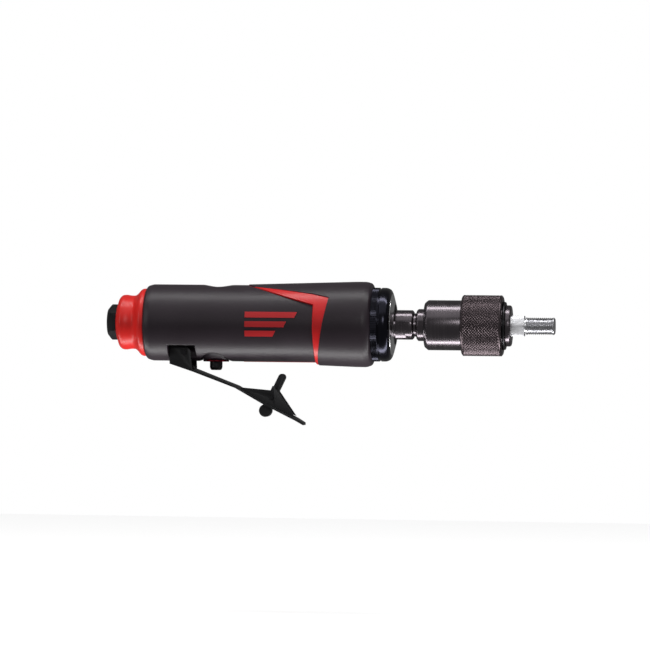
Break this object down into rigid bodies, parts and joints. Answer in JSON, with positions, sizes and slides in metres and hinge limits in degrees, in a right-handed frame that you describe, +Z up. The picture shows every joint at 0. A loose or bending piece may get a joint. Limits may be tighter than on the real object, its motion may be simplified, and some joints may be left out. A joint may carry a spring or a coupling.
{
  "type": "die grinder",
  "caption": "Straight low-speed air die grinder: rubber-covered body, lever throttle with lock, geared spindle and quick-release hex chuck holding a threaded arbor.",
  "frame": {"origin": "centre of the air inlet's mouth, on the tool's axis", "axes": "+X along the tool from the inlet to the arbor's tip, +Z up, the throttle lever hangs towards -Z"},
  "size_m": [0.2479, 0.047, 0.0793],
  "materials": {
    "housing_alu": "black anodised aluminium",
    "red_core": "red moulded composite",
    "skin_rubber": "charcoal soft-touch overmould",
    "mark_red": "red printed bars",
    "ring_red": "red moulded plastic",
    "felt": "felt silencer",
    "black_steel": "black oxide steel",
    "brass": "machined brass",
    "black_rubber": "nitrile rubber",
    "retainer_red": "dark red anodised",
    "spring_steel": "spring wire",
    "ground_steel": "ground steel",
    "liner_iron": "honed iron",
    "bearing_steel": "polished bearing steel",
    "vane_fibre": "phenolic laminate",
    "gear_steel": "hobbed gear steel",
    "collar_steel": "polished blue-black steel",
    "cap_steel": "bright turned steel",
    "lever_steel": "black satin coated steel",
    "gun_steel": "polished gunmetal steel",
    "knurled_steel": "knurled black oxide steel",
    "zinc_steel": "satin zinc-plated steel"
  },
  "bodies": {
    "housing": {"motor_housing": "housing_alu", "grip_core": "red_core", "grip_skin": "skin_rubber", "side_mark": "mark_red", "exhaust_ring": "ring_red", "exhaust_felt": "felt", "inlet_bushing": "black_steel", "inlet_screen": "brass", "inlet_o_ring": "black_rubber", "valve_bushing": "brass", "valve_retainer": "retainer_red", "valve_spring": "spring_steel", "valve_o_ring": "black_rubber", "lever_pin": "ground_steel", "rear_end_plate": "liner_iron", "cylinder_liner": "liner_iron", "front_end_plate": "liner_iron", "liner_dowel": "ground_steel", "ring_gear": "gear_steel", "gear_spacer": "ground_steel", "wave_washer": "spring_steel", "rear_bearing_outer": "bearing_steel", "rear_bearing_balls": "bearing_steel", "front_bearing_outer": "bearing_steel", "front_bearing_balls": "bearing_steel", "spindle_bearing_rear_outer": "bearing_steel", "spindle_bearing_rear_balls": "bearing_steel", "spindle_bearing_front_outer": "bearing_steel", "spindle_bearing_front_balls": "bearing_steel", "bearing_spacer": "ground_steel", "clamp_collar": "collar_steel", "bearing_cap": "cap_steel", "shaft_seal": "black_rubber"},
    "throttle": {"throttle_lever": "lever_steel", "lock_pin": "ground_steel", "lock_spring": "spring_steel"},
    "lock": {"lock_lever": "lever_steel"},
    "valve": {"valve_stem": "black_steel", "valve_poppet": "black_rubber"},
    "rotor": {"rotor": "ground_steel", "rotor_vanes": "vane_fibre", "sun_pinion": "gear_steel", "rear_bearing_inner": "bearing_steel", "front_bearing_inner": "bearing_steel"},
    "spindle": {"spindle": "gun_steel", "planet_pins": "ground_steel", "spindle_bearing_rear_inner": "bearing_steel", "spindle_bearing_front_inner": "bearing_steel", "chuck_body": "gun_steel", "lock_balls": "bearing_steel", "sleeve_spring": "spring_steel", "retaining_ring": "cap_steel"},
    "planet_1": {"planet_gear_1": "gear_steel"},
    "planet_2": {"planet_gear_2": "gear_steel"},
    "planet_3": {"planet_gear_3": "gear_steel"},
    "sleeve": {"chuck_sleeve": "knurled_steel"},
    "arbor": {"arbor": "zinc_steel"}
  },
  "joints": [
    {"name": "throttle_squeeze", "type": "hinge", "parent": "housing", "child": "throttle", "pos_m": [0.0437, 0, -0.0162], "axis": [0, -1, 0], "range_deg": [0, 13.5], "stiffness_Nm_per_rad": 0.4, "springref_deg": -20.05},
    {"name": "lock_fold", "type": "hinge", "parent": "throttle", "child": "lock", "pos_m": [0.092, 0, -0.0408], "axis": [0, -1, 0], "range_deg": [0, 91]},
    {"name": "valve_lift", "type": "slide", "parent": "housing", "child": "valve", "axis": [0, 0, 1], "range_m": [0, 0.0015], "deforming": ["valve_spring"]},
    {"name": "spindle_spin", "type": "hinge", "parent": "housing", "child": "spindle", "pos_m": [0.15, 0, 0], "axis": [1, 0, 0], "continuous": true},
    {"name": "rotor_spin", "type": "hinge", "parent": "housing", "child": "rotor", "pos_m": [0.095, 0, 0], "axis": [1, 0, 0], "continuous": true},
    {"name": "planet_spin_1", "type": "hinge", "parent": "spindle", "child": "planet_1", "pos_m": [0.125, 0, -0.00877], "axis": [1, 0, 0], "continuous": true},
    {"name": "planet_spin_2", "type": "hinge", "parent": "spindle", "child": "planet_2", "pos_m": [0.125, 0.0076, 0.00439], "axis": [1, 0, 0], "continuous": true},
    {"name": "planet_spin_3", "type": "hinge", "parent": "spindle", "child": "planet_3", "pos_m": [0.125, -0.0076, 0.00439], "axis": [1, 0, 0], "continuous": true},
    {"name": "sleeve_pull", "type": "slide", "parent": "spindle", "child": "sleeve", "axis": [-1, 0, 0], "range_m": [0, 0.0055], "stiffness_N_per_m": 1500, "springref_m": -0.003, "deforming": ["sleeve_spring"]},
    {"name": "arbor_draw", "type": "slide", "parent": "spindle", "child": "arbor", "axis": [1, 0, 0], "range_m": [0, 0.028], "deforming": ["lock_balls"]}
  ],
  "couplings": [
    {"joint": "lock_fold", "follows": "throttle_squeeze", "ratio": 6.7},
    {"joint": "valve_lift", "follows": "throttle_squeeze", "m_per_rad": 0.00615},
    {"joint": "rotor_spin", "follows": "spindle_spin", "ratio": 4.5},
    {"joint": "planet_spin_1", "follows": "spindle_spin", "ratio": -2.8},
    {"joint": "planet_spin_2", "follows": "spindle_spin", "ratio": -2.8},
    {"joint": "planet_spin_3", "follows": "spindle_spin", "ratio": -2.8}
  ]
}
